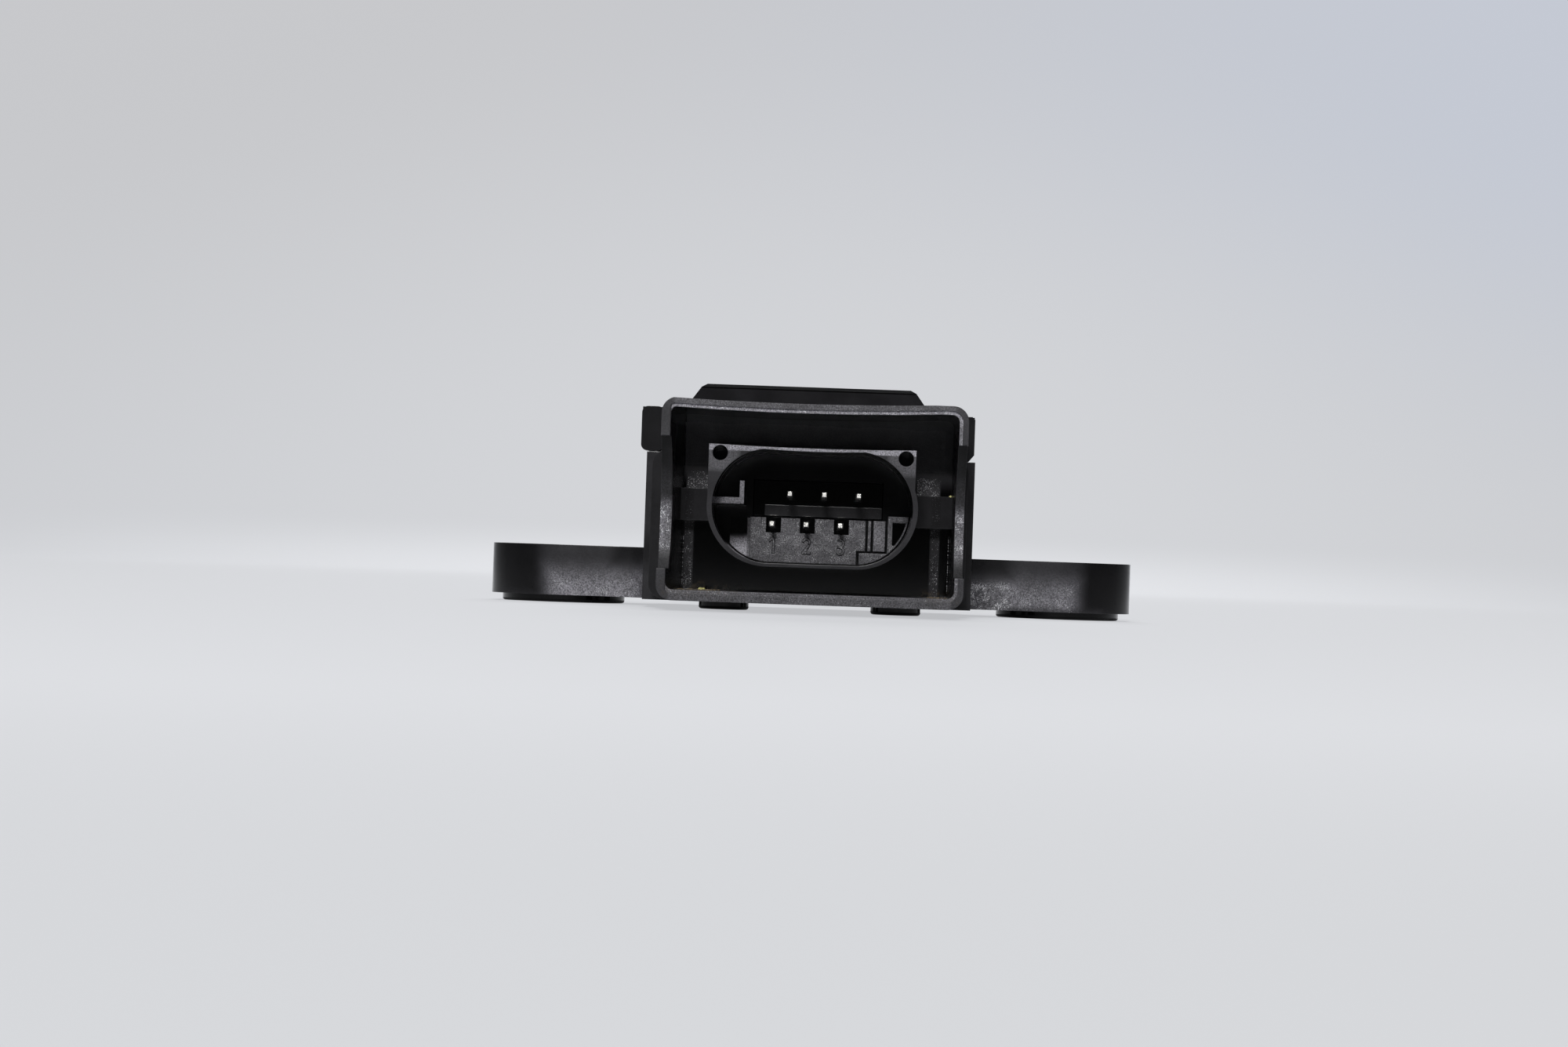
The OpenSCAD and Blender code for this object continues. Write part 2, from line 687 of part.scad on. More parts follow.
// one bent terminal: tip, straight run, round bend and tail through the board
module terminal(x, z, tip_y, tail_y) {
    h = pin_t / 2;
    inner = 0.4;
    outer = inner + pin_t;
    lean = atan((h - tip_w / 2) / tip_len);
    color(tin) {
        difference() {
            pin_bar(x, z, tip_y, tail_y - h - inner);
            for (a = [0 : 90 : 270])
                translate([x, tip_y, z]) rotate([0, a, 0]) translate([tip_w / 2, 0, 0])
                    rotate([0, 0, -lean]) translate([0, -1, -1]) cube([1, tip_len + 1.4, 2]);
        }
        intersection() {
            translate([x - h, tail_y - h - inner, z - h - inner]) rotate([0, 90, 0])
                difference() {
                    cylinder(h = pin_t, r = outer);
                    translate([0, 0, -1]) cylinder(h = pin_t + 2, r = inner);
                }
            box(x - h, x + h, tail_y - h - inner, tail_y + h, z - h - inner, z + h);
        }
        box(x - h, x + h, tail_y - h, tail_y + h, board_z - tail_out, z - h - inner);
    }
}

module low_terminal(i) {
    terminal(pin_xs[i] + low_row_x, low_row_z, rim_y + low_tip_back, low_tail_y);
}

module high_terminal(i) {
    terminal(pin_xs[i] + high_row_x, high_row_z, rim_y + high_tip_back, high_tail_y);
}

// children at the tail of each terminal
module at_tails() {
    for (x = pin_xs) {
        translate([x + low_row_x, low_tail_y, 0]) children();
        translate([x + high_row_x, high_tail_y, 0]) children();
    }
}

// the cone that bevels one end of a sleeve's bore, 1 mm outside that end
module bore_bevel(up) {
    r = bush_bore_d / 2;
    mirror([0, 0, up > 0 ? 0 : 1]) cylinder(h = 1 + bush_bevel, r1 = r + bush_bevel + 1, r2 = r);
}

module bush(s) {
    color(steel) translate([s * ear_x, 0, 0]) difference() {
        cylinder(h = ear_z1, d = bush_d);
        translate([0, 0, -1]) cylinder(h = ear_z1 + 2, d = bush_bore_d);
        for (z = [-1, ear_z1 + 1]) translate([0, 0, z]) bore_bevel(z < 0 ? 1 : -1);
    }
}

module circuit_board() {
    color(green) difference() {
        box(-board_x, board_x, board_y0, board_y1, board_z, board_top);
        at_tails() translate([0, 0, board_z - 1]) cylinder(h = board_t + 2, d = tail_hole_d);
        for (x = post_xs, y = post_ys)
            translate([x, y, board_z - 1]) cylinder(h = board_t + 2, d = post_d);
    }
}

module solder_joints() {
    color(tin) at_tails() difference() {
        translate([0, 0, board_z - 0.7]) cylinder(h = 0.7, r1 = 0.5, r2 = 0.95);
        translate([-pin_t / 2, -pin_t / 2, board_z - 1]) cube([pin_t, pin_t, 2]);
    }
}

// a flat chip body on the board, placed from the board's middle and given by its size
module chip(x, y, w, d, h, lift) {
    translate([x, board_mid_y + y, board_top + lift]) linear_extrude(h)
        square([w, d], center = true);
}

// n gull-wing leads along each long side of a chip
module lead_rows(x, y, w, d, n, pitch) {
    for (i = [0 : n - 1], s = [-1, 1]) {
        lx = x + (i - (n - 1) / 2) * pitch;
        a = board_mid_y + y + s * d / 2;
        b = a + s * 0.5;
        c = a + s * 1.2;
        box(lx - 0.15, lx + 0.15, min(a, b), max(a, b), board_top + 0.7, board_top + 0.9);
        box(lx - 0.15, lx + 0.15, min(b, b + s * 0.2), max(b, b + s * 0.2),
            board_top, board_top + 0.9);
        box(lx - 0.15, lx + 0.15, min(b, c), max(b, c), board_top, board_top + 0.2);
    }
}

module yaw_rate_chip() {
    color(dark) chip(-8.6, -0.95, 8.5, 8.5, 3.2, 0);
}

module accelerometer_chip() {
    color(dark) chip(8.2, -2.35, 6, 6, 2.4, 0);
}

module controller_chip() {
    color(dark) chip(-2, 9.25, 10, 5.3, 1.5, 0.1);
}

module controller_leads() {
    color(tin) lead_rows(-2, 9.25, 10, 5.3, 14, 0.65);
}

module transceiver_chip() {
    color(dark) chip(8.4, 5.25, 5, 3.9, 1.4, 0.1);
}

module transceiver_leads() {
    color(tin) lead_rows(8.4, 5.25, 5, 3.9, 4, 1.27);
}

module voltage_regulator() {
    color(dark) chip(0.6, -1.75, 4.4, 4.4, 1.8, 0);
}

module crystal() {
    color(steel) chip(-11.2, 7.05, 3.2, 5, 1.1, 0);
}

module tantalum_capacitors() {
    color([0.72, 0.5, 0.16]) for (y = [-2.35, 6.65]) chip(13.5, y, 2.8, 3.5, 1.9, 0);
}

module ceramic_capacitors() {
    color([0.6, 0.5, 0.38]) {
        for (i = [0 : 4]) chip(-6.4 + i * 2.6, 4.25, 1.6, 0.8, 0.8, 0);
        for (i = [0 : 2]) chip(-10.6 + i * 2.6, -7.55, 1.6, 0.8, 0.8, 0);
    }
}

module chip_resistors() {
    color([0.12, 0.12, 0.13]) {
        for (i = [0 : 3]) chip(4.6 + i * 2.2, 9.25, 1.6, 0.8, 0.45, 0);
        for (i = [0 : 3]) chip(-3.4 + i * 2.4, -5.75, 1.6, 0.8, 0.45, 0);
    }
}

module choke() {
    color([0.2, 0.18, 0.17]) chip(6.6, -7.95, 4.5, 3.2, 2.7, 0);
}

housing();
cover();
cover_seal();
terminal_carrier();
low_terminal(0);  // terminal_1
low_terminal(1);  // terminal_2
low_terminal(2);  // terminal_3
high_terminal(0);  // terminal_4
high_terminal(1);  // terminal_5
high_terminal(2);  // terminal_6
bush(-1);  // bush_left
bush(1);  // bush_right
circuit_board();
solder_joints();
yaw_rate_chip();
accelerometer_chip();
controller_chip();
controller_leads();
transceiver_chip();
transceiver_leads();
voltage_regulator();
crystal();
tantalum_capacitors();
ceramic_capacitors();
chip_resistors();
choke();
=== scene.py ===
import math

import bpy
from mathutils import Matrix, Vector


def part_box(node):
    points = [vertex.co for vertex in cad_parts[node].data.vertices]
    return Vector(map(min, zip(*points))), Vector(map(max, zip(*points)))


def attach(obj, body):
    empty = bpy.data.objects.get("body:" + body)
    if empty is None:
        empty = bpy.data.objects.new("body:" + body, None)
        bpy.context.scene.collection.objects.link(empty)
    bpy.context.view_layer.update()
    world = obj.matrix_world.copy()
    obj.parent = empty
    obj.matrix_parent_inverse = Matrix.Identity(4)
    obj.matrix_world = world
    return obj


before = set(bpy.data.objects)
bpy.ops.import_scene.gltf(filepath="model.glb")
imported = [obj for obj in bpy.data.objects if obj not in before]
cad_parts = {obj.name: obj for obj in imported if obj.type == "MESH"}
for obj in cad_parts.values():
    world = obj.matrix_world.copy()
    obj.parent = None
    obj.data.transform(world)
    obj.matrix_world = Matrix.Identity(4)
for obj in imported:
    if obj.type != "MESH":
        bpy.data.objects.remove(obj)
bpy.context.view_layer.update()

MM = 0.001

# Places on the part in mm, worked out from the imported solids
housing_low, housing_high = [corner / MM for corner in map(Vector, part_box("housing"))]
RIM_Y = housing_low.y
EAR_TIP_X = housing_high.x
LID_TOP_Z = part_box("cover")[1][2] / MM
COLLAR_FLOOR_Z = housing_low.z + 2.35

# The camera looks into the plug opening from just above the mounting face.
CAMERA_PLACE = Vector((1.41, -425.06, 5.63)) * MM
CAMERA_YAW = math.radians(-0.68)
CAMERA_PITCH = math.radians(0.69)
CAMERA_ROLL = math.radians(2.02)
PHOTO_WIDTH = 2000
FOCAL_IN_PIXELS = 4313
SENSOR_WIDTH = 36.0


# Small helpers for shader nodes

def group(name, inputs, outputs):
    """A shader node group: a number makes a float input, a triple a vector input."""
    tree = bpy.data.node_groups.new(name, "ShaderNodeTree")
    for label, value in inputs:
        kind = "NodeSocketFloat" if isinstance(value, float) else "NodeSocketVector"
        socket = tree.interface.new_socket(label, in_out="INPUT", socket_type=kind)
        socket.default_value = value
    for label, kind in outputs:
        tree.interface.new_socket(label, in_out="OUTPUT", socket_type=kind)
    tree.nodes.new("NodeGroupInput")
    tree.nodes.new("NodeGroupOutput")
    return tree


def ends(tree):
    """The group's own inputs and outputs, as seen from inside it."""
    return tree.nodes["Group Input"].outputs, tree.nodes["Group Output"].inputs


def feed(tree, slot, value):
    """Gives a socket its value: a link from another socket, or a number or vector."""
    if isinstance(value, bpy.types.NodeSocket):
        tree.links.new(value, slot)
    else:
        slot.default_value = value


def math_node(tree, operation, first, second=None, clamp=False):
    node = tree.nodes.new("ShaderNodeMath")
    node.operation = operation
    node.use_clamp = clamp
    feed(tree, node.inputs[0], first)
    if second is not None:
        feed(tree, node.inputs[1], second)
    return node.outputs[0]


def vector_node(tree, operation, *values, output="Vector"):
    node = tree.nodes.new("ShaderNodeVectorMath")
    node.operation = operation
    for slot, value in zip(node.inputs, values):
        feed(tree, slot, value)
    return node.outputs[output]


def split_axes(tree, vector):
    node = tree.nodes.new("ShaderNodeSeparateXYZ")
    tree.links.new(vector, node.inputs[0])
    return node.outputs


def map_range(tree, value, low, high, to_low=0.0, to_high=1.0):
    node = tree.nodes.new("ShaderNodeMapRange")
    node.interpolation_type = "SMOOTHSTEP"
    tree.links.new(value, node.inputs["Value"])
    for label, limit in (("From Min", low), ("From Max", high),
                         ("To Min", to_low), ("To Max", to_high)):
        feed(tree, node.inputs[label], limit)
    return node.outputs["Result"]


def object_place(tree):
    return tree.nodes.new("ShaderNodeTexCoord").outputs["Object"]


def noise(tree, place, scale, detail=2.0, roughness=0.5):
    node = tree.nodes.new("ShaderNodeTexNoise")
    tree.links.new(place, node.inputs["Vector"])
    feed(tree, node.inputs["Scale"], scale)
    node.inputs["Detail"].default_value = detail
    node.inputs["Roughness"].default_value = roughness
    return node.outputs["Fac"]


def mix_colour(tree, mask, low, high):
    node = tree.nodes.new("ShaderNodeMix")
    node.data_type = "RGBA"
    tree.links.new(mask, node.inputs[0])
    for slot, value in ((node.inputs[6], low), (node.inputs[7], high)):
        feed(tree, slot, (*value, 1.0) if isinstance(value, tuple) else value)
    return node.outputs[2]


def use(tree, source, **values):
    """Places a shared group, with its values by input name, written with underscores."""
    node = tree.nodes.new("ShaderNodeGroup")
    node.node_tree = source
    for label, value in values.items():
        feed(tree, node.inputs[label.replace("_", " ")], value)
    return node.outputs


def new_material(name):
    material = bpy.data.materials.new(name)
    material.use_nodes = True
    return material, material.node_tree, material.node_tree.nodes["Principled BSDF"]


def bump(tree, height, normal, distance, strength):
    """A bumped normal, on the face's own where none is given."""
    node = tree.nodes.new("ShaderNodeBump")
    node.inputs["Distance"].default_value = distance
    node.inputs["Strength"].default_value = strength
    tree.links.new(height, node.inputs["Height"])
    if normal is not None:
        tree.links.new(normal, node.inputs["Normal"])
    return node.outputs["Normal"]


# Finishes shared by several plastics

def make_fibre_flecks():
    """Fine bright glass fibres in the skin of the plastic, thick in some patches. The flecks are
    partly the fibres' own paleness and partly painted sparkle highlights.
    """
    tree = group("glass fibre flecks and painted sparkle",
                 [("Flecks per metre", 8000.0), ("Coverage", 0.5), ("Patchiness", 0.5)],
                 [("Mask", "NodeSocketFloat"), ("Mottle", "NodeSocketFloat")])
    given, out = ends(tree)
    place = object_place(tree)
    specks = noise(tree, place, given["Flecks per metre"], 2.0, 0.75)
    patches = map_range(tree, noise(tree, place, 900.0, 3.0, 0.65), 0.38, 0.62)
    fade = math_node(tree, "MULTIPLY", math_node(tree, "SUBTRACT", patches, 1.0),
                     given["Patchiness"])
    share = math_node(tree, "MULTIPLY", given["Coverage"], math_node(tree, "ADD", fade, 1.0))
    highest_bar = 0.66
    drop_at_full_share = 0.19
    softness = 0.13
    bar = math_node(tree, "SUBTRACT", highest_bar,
                    math_node(tree, "MULTIPLY", share, drop_at_full_share))
    keep = map_range(tree, specks, bar, math_node(tree, "ADD", bar, softness))
    strength = map_range(tree, given["Coverage"], 0.0, 0.9)
    tree.links.new(math_node(tree, "MULTIPLY", keep, strength), out["Mask"])
    mottle = noise(tree, place, 5600.0, 2.0, 0.7)
    tree.links.new(map_range(tree, mottle, 0.32, 0.68, -1.0, 1.0), out["Mottle"])
    return tree


def make_edge_wear():
    """Marks the outer edges, where handling has rubbed the skin grey."""
    tree = group("rubbed edges",
                 [("Edge width", 0.13 * MM), ("Break up", 0.5)],
                 [("Mask", "NodeSocketFloat"), ("Edge", "NodeSocketFloat"),
                  ("Soft Normal", "NodeSocketVector")])
    given, out = ends(tree)
    bevel = tree.nodes.new("ShaderNodeBevel")
    bevel.samples = 6
    tree.links.new(given["Edge width"], bevel.inputs["Radius"])
    face = tree.nodes.new("ShaderNodeNewGeometry")
    turned = vector_node(tree, "DOT_PRODUCT", bevel.outputs["Normal"], face.outputs["Normal"],
                         output="Value")
    edge = map_range(tree, turned, 0.99, 0.82)
    rub = noise(tree, object_place(tree), 2600.0, 3.0, 0.6)
    patchy = map_range(tree, rub, 0.35, 0.65)
    fade = math_node(tree, "MULTIPLY", math_node(tree, "SUBTRACT", patchy, 1.0),
                     given["Break up"])
    share = math_node(tree, "ADD", fade, 1.0, clamp=True)
    tree.links.new(math_node(tree, "MULTIPLY", edge, share), out["Mask"])
    tree.links.new(edge, out["Edge"])
    tree.links.new(bevel.outputs["Normal"], out["Soft Normal"])
    return tree


def make_moulded_grain():
    """The fine uneven skin of moulded plastic, as a height."""
    tree = group("moulded grain",
                 [("Grain per metre", 9000.0), ("Flow per metre", 260.0)],
                 [("Height", "NodeSocketFloat"), ("Flow", "NodeSocketFloat")])
    given, out = ends(tree)
    place = object_place(tree)
    fine = noise(tree, place, given["Grain per metre"], 2.0, 0.55)
    broad = noise(tree, place, given["Flow per metre"], 3.0, 0.6)
    height = math_node(tree, "ADD", math_node(tree, "MULTIPLY", fine, 0.92),
                       math_node(tree, "MULTIPLY", broad, 0.08))
    tree.links.new(height, out["Height"])
    tree.links.new(broad, out["Flow"])
    return tree


def make_finish_patch():
    """Marks one box-shaped area of a moulding, with a soft limit all round."""
    tree = group("finish patch",
                 [("Place", (0.0, 0.0, 0.0)), ("Centre", (0.0, 0.0, 0.0)),
                  ("Half size", (1.0, 1.0, 1.0)), ("Fade", 0.4 * MM)],
                 [("Mask", "NodeSocketFloat")])
    given, out = ends(tree)
    away = vector_node(tree, "SUBTRACT", given["Place"], given["Centre"])
    beyond = vector_node(tree, "SUBTRACT", vector_node(tree, "ABSOLUTE", away),
                         given["Half size"])
    axes = split_axes(tree, beyond)
    furthest = math_node(tree, "MAXIMUM", axes["X"], axes["Y"])
    furthest = math_node(tree, "MAXIMUM", furthest, axes["Z"])
    half = math_node(tree, "MULTIPLY", given["Fade"], 0.5)
    inner = math_node(tree, "MULTIPLY", given["Fade"], -0.5)
    tree.links.new(map_range(tree, furthest, inner, half, 1.0, 0.0), out["Mask"])
    return tree


FLECKS = make_fibre_flecks()
WEAR = make_edge_wear()
GRAIN = make_moulded_grain()
PATCH = make_finish_patch()


# Where each finish lies on the mouldings

ALL = (-90.0, 90.0)


def behind_rim(start, stop):
    """A span of depth, counted in mm from the collar's outer rim inwards."""
    return RIM_Y + start, RIM_Y + stop


OUTER_RIM = behind_rim(-0.2, 0.2)
LIP = behind_rim(0.22, 0.5)
NOTCHES = behind_rim(1.1, 6.0)
INNER_RIM = behind_rim(2.8, 3.2)
KEY_RIB = behind_rim(7.8, 8.2)
WEB_FRONTS = behind_rim(14.8, 15.2)
NUMBERED_FACE = behind_rim(15.7, 16.3)
COLLAR_BACK = behind_rim(17.8, 18.2)
CARRIER_FLANK = behind_rim(17.7, 18.3)
LEDGE = behind_rim(18.2, 18.6)

NOTCH_FLOOR_X = (16.2, 19.0)
INNER_RIM_X = (-12.2, 12.2)
PLATFORM_X = (-17.0, 15.0)
PLATFORM_Y = (-21.0, 12.0)
EAR_END_X = EAR_TIP_X + 2.0

# Near black and smooth: painted shade for recesses and shaded places.
SMOOTH_PAINTED_SHADE = (0.0003, 0.09, 0.0)


def area(finish, x=ALL, y=ALL, z=ALL, fade=0.1, mirrored=False):
    """A box-shaped stretch of a moulding in mm, with the finish that it has.

    A finish is the paleness of the skin, its roughness and its share of flecks.
    fade is how wide the soft limit is. A mirrored area lies on both sides.
    """
    return x, y, z, fade, mirrored, finish


# A later area lies over the ones before it. Many areas paint light and shade into the skin: paler
# where light falls, near black where shade falls.
HOUSING_AREAS = {
    # Painted light: the tub's front is paler on the left, where more light falls.
    "tub front, left": area((0.018, 0.21, 0.0), x=(-21.0, -18.0), z=(7.0, 18.6), fade=2.0),
    "tub front, right": area((0.015, 0.17, 0.1), x=(18.0, 20.0), z=(7.0, 18.6), fade=2.0),
    "ears": area(
        (0.018, 0.25, 0.1), x=(18.8, EAR_END_X), y=(-24.0, 16.0), z=(0.9, 7.6), fade=0.6,
        mirrored=True),
    # Painted highlight: the ears' lower halves and the right ear's lower edge and root are paler,
    # with dense flecks.
    "left ear, lower half": area(
        (0.13, 0.44, 0.75), x=(-32.2, -20.6), y=(-13.6, -5.0), z=(-3.5, 3.7), fade=4.5),
    "right ear, lower half": area(
        (0.1, 0.42, 0.75), x=(17.5, 33.0), y=(-13.6, -5.0), z=(-3.5, 4.3), fade=4.5),
    "right ear, lower edge": area(
        (0.04, 0.34, 0.5), x=(24.0, 36.0), y=(-12.6, -7.0), z=(0.0, 1.4), fade=0.9),
    "right ear, root": area(
        (0.065, 0.42, 1.0), x=(18.2, 24.4), y=(-12.6, -7.0), z=(0.0, 4.2), fade=1.2),
    # Painted shade: the ears' upper halves by the tub are darker.
    "ears by the tub, upper half": area(
        (0.006, 0.18, 0.05), x=(18.0, 24.5), y=(-24.0, -7.0), z=(5.0, 8.2), fade=3.0,
        mirrored=True),
    # Painted shade: the rounded ear tips are darker.
    "ear tips": area(
        (0.004, 0.13, 0.0), x=(33.4, EAR_END_X), y=(-16.0, 16.0), z=(0.9, 8.0), fade=2.4,
        mirrored=True),
    # Painted shade under the ears: the pads and feet are near black.
    "pads and feet": area(
        (0.0007, 0.12, 0.0), x=(0.0, EAR_END_X), y=(-23.0, 16.0), z=(-1.0, 0.88),
        mirrored=True),
    "step behind the collar": area(
        (0.01, 0.2, 0.06), x=(16.9, 19.0), y=behind_rim(9.0, 11.0), fade=0.2, mirrored=True),
    # Painted shade: the inside of the collar is near black.
    "inside the collar": area(
        SMOOTH_PAINTED_SHADE, x=(-16.6, 16.6), y=behind_rim(0.6, 21.0), z=(2.0, 23.2), fade=0.3),
    # Painted light: the upper half of the collar's back is paler.
    "collar's back, upper half": area(
        (0.04, 0.28, 0.0), x=(-16.6, 16.6), y=behind_rim(16.0, 20.5), z=(16.0, 23.2), fade=3.0),
    # Painted shade: the oval socket's back is darker.
    "oval socket's back": area(
        (0.004, 0.11, 0.0), x=(-12.0, 12.0), y=behind_rim(18.8, 20.5), fade=0.2),
    # Painted shade: the collar's inner side walls are darker.
    "collar's side walls": area(
        (0.003, 0.26, 0.08), x=(15.3, 16.6), y=behind_rim(0.6, 17.7), z=(2.0, 21.5), fade=0.2,
        mirrored=True),
    "webs": area((0.01, 0.18, 0.0), x=(12.0, 16.6), y=WEB_FRONTS, z=(10.3, 14.3), mirrored=True),
    "rough strips, low": area(
        (0.012, 0.22, 0.6), x=(14.0, 15.1), y=COLLAR_BACK, z=(2.3, 10.4), fade=0.3,
        mirrored=True),
    "rough strips, high": area(
        (0.021, 0.26, 0.72), x=(12.2, 15.0), y=COLLAR_BACK, z=(14.1, 16.4), fade=0.3,
        mirrored=True),
    "rough strips on the webs": area(
        (0.007, 0.18, 0.35), x=(14.0, 15.0), y=WEB_FRONTS, z=(10.4, 14.3), fade=0.3,
        mirrored=True),
    # Painted light: the key rib's lit front is paler.
    "key rib": area((0.105, 0.45, 0.4), x=(-12.0, -7.7), y=KEY_RIB, z=(5.0, 18.0)),
    "outer rim": area((0.05, 0.42, 0.5), y=OUTER_RIM),
    "outer rim, sides": area(
        (0.023, 0.28, 0.2), x=(16.0, 19.0), y=OUTER_RIM, fade=0.8, mirrored=True),
    # Painted highlight along the lip in the rim, weaker at its foot.
    "lip in the rim": area((0.155, 0.47, 0.8), y=LIP, fade=0.04),
    "lip in the rim, foot": area((0.04, 0.36, 0.4), y=LIP, z=(0.0, 4.6), fade=0.5),
    # Painted light on the notch floors: a pale band of painted highlight across the middle,
    # painted shadow of the step at the top, and less at the foot.
    "notch floors": area(
        (0.012, 0.53, 0.2), x=NOTCH_FLOOR_X, y=NOTCHES, z=(4.8, 19.7), mirrored=True),
    "notch floors, middle": area(
        (0.098, 0.54, 1.0), x=NOTCH_FLOOR_X, y=NOTCHES, z=(6.9, 12.2), fade=2.6, mirrored=True),
    "notch floors, foot": area(
        (0.015, 0.33, 0.1), x=NOTCH_FLOOR_X, y=NOTCHES, z=(4.8, 6.4), fade=1.8, mirrored=True),
    "notch floors, top": area(
        (0.0003, 0.3, 0.0), x=NOTCH_FLOOR_X, y=NOTCHES, z=(16.0, 21.0), fade=4.0, mirrored=True),
    "inner rim": area((0.018, 0.25, 0.15), x=INNER_RIM_X, y=INNER_RIM),
    # Painted highlight: the inner rim is paler at its upper corners and along its top.
    "inner rim, corners": area(
        (0.055, 0.4, 0.3), x=(8.6, 12.2), y=INNER_RIM, z=(16.2, 19.3), fade=1.0, mirrored=True),
    "inner rim, top": area(
        (0.185, 0.47, 0.6), x=INNER_RIM_X, y=INNER_RIM, z=(18.4, 19.4), fade=0.15),
}
LID_AREAS = {
    "raised platform": area(
        (0.01, 0.17, 0.0), x=PLATFORM_X, y=PLATFORM_Y, z=(LID_TOP_Z - 3.13, LID_TOP_Z + 0.15)),
    # Painted shade: the platform's top edge is near black.
    "platform's top edge": area(
        (0.0003, 0.15, 0.0), x=PLATFORM_X, y=PLATFORM_Y, z=(LID_TOP_Z - 0.55, LID_TOP_Z + 0.15)),
}
CARRIER_AREAS = {
    # Painted light: the numbered face and the key rectangle are paler where light falls.
    "numbered face": area((0.056, 0.42, 0.8), x=(-7.5, 11.5), y=NUMBERED_FACE, z=(5.0, 12.0)),
    "key rectangle": area(
        (0.083, 0.45, 0.8), x=(7.0, 8.95), y=behind_rim(15.7, 16.2), z=(7.2, 11.1)),
    # Painted shadow: the key rib's shadow on the upper left flank, near black.
    "left flank, shaded": area(SMOOTH_PAINTED_SHADE, x=(-9.8, -7.65), y=CARRIER_FLANK, z=(8.0, 11.2)),
    # Painted light: the lit lower part of the left flank and the strip by the face are pale.
    "left flank": area(
        (0.2, 0.46, 0.9), x=(-9.8, -7.25), y=CARRIER_FLANK, z=(5.0, 8.8), fade=0.9),
    "left flank by the face": area(
        (0.075, 0.42, 0.5), x=(-7.65, -7.2), y=CARRIER_FLANK, z=(5.0, 11.1)),
    "ledge": area((0.011, 0.21, 0.2), y=LEDGE, z=(11.2, 12.7)),
    # Painted highlight: a bright line along the ledge's lower edge.
    "ledge's lower edge": area((0.155, 0.45, 0.6), y=LEDGE, z=(11.12, 11.24), fade=0.04),
    # Painted shade: near black behind the pins and behind the round-cornered hole.
    "behind the pins": area(SMOOTH_PAINTED_SHADE, y=behind_rim(18.7, 25.0), z=(5.0, 16.0)),
    "behind the round-cornered hole": area(
        SMOOTH_PAINTED_SHADE, x=(9.0, 12.2), y=behind_rim(18.5, 18.7), z=(6.5, 11.2)),
}

# Spans in mm along X, Y and Z, and the fade: the collar's corners where dust has settled
DUSTY_CORNERS = (
    ((-16.6, -8.0), behind_rim(0.2, 18.1), (COLLAR_FLOOR_Z - 0.45, 3.0), 1.6),
    ((13.2, 16.8), behind_rim(0.2, 18.1), (COLLAR_FLOOR_Z - 0.45, 2.9), 1.2),
)

# Painted highlights: broken bright lines where a side wall meets the collar's back
PAINTED_GLINTS = (
    ((-15.21, -15.14), behind_rim(17.94, 18.06), (2.8, 8.8), 0.03),
    ((16.13, 16.2), behind_rim(17.94, 18.06), (2.8, 9.6), 0.03),
)

# The raised numbers, whose edges get painted shade as fine dark lines
NUMBER_EDGE_SHADE = (
    ((-7.5, 5.3), behind_rim(15.7, 16.1), (5.0, 9.2), 0.05),
)

# Level faces that look up, as a skin and a roughness
LEVEL_SKIN = 0.03
LEVEL_ROUGHNESS = 0.56

# The skin leans a little to blue.
SKIN_TINT = (1.02, 0.99, 1.1)
DUST_BROWN = (0.14, 0.105, 0.06)
DUST_SHARE = 0.2
PAINTED_GLINT_GREY = (0.22, 0.22, 0.23)
RUBBED_GREY = (0.06, 0.06, 0.063)


# The materials

def patch_mask(tree, place, x, y, z, fade):
    """How far a place lies inside the spans given in mm."""
    spans = (x, y, z)
    return use(tree, PATCH, Place=place,
               Centre=[(low + high) / 2 * MM for low, high in spans],
               Half_size=[(high - low) / 2 * MM for low, high in spans],
               Fade=fade * MM)["Mask"]


def both_sides(tree, place):
    """The place with its left half folded onto the right, so one area serves both."""
    axes = split_axes(tree, place)
    joined = tree.nodes.new("ShaderNodeCombineXYZ")
    tree.links.new(math_node(tree, "ABSOLUTE", axes["X"]), joined.inputs["X"])
    tree.links.new(axes["Y"], joined.inputs["Y"])
    tree.links.new(axes["Z"], joined.inputs["Z"])
    return joined.outputs[0]


def finish_areas(tree, place, areas, base):
    """Blends each area's own skin, roughness and flecks over the ones before it."""
    folded = both_sides(tree, place)
    blend = base
    for x, y, z, fade, mirrored, finish in areas.values():
        mask = patch_mask(tree, folded if mirrored else place, x, y, z, fade)
        blend = mix_colour(tree, mask, blend, finish)
    split = tree.nodes.new("ShaderNodeSeparateColor")
    tree.links.new(blend, split.inputs[0])
    return split.outputs


def paint_shade_on_raised_edges(tree, edge, finish):
    """Paints shade on the edges of raised shapes: they turn smooth and black."""
    skin, rough, coverage = finish
    edge_strength = 1.8
    smoothest = 0.35
    keep = math_node(tree, "SUBTRACT", 1.0, math_node(tree, "MULTIPLY", edge, edge_strength),
                     clamp=True)
    smoother = map_range(tree, keep, 0.0, 1.0, smoothest, 1.0)
    return (math_node(tree, "MULTIPLY", skin, keep), math_node(tree, "MULTIPLY", rough, smoother),
            math_node(tree, "MULTIPLY", coverage, keep))


def matt_upward_faces(tree, skin, rough):
    """Level faces that look up are matt and a little paler."""
    facing = split_axes(tree, tree.nodes.new("ShaderNodeTexCoord").outputs["Normal"])
    upward = map_range(tree, facing["Z"], 0.97, 0.995)
    skin = math_node(tree, "MAXIMUM", skin, math_node(tree, "MULTIPLY", upward, LEVEL_SKIN))
    rough = math_node(tree, "MAXIMUM", rough,
                      math_node(tree, "MULTIPLY", upward, LEVEL_ROUGHNESS))
    return skin, rough


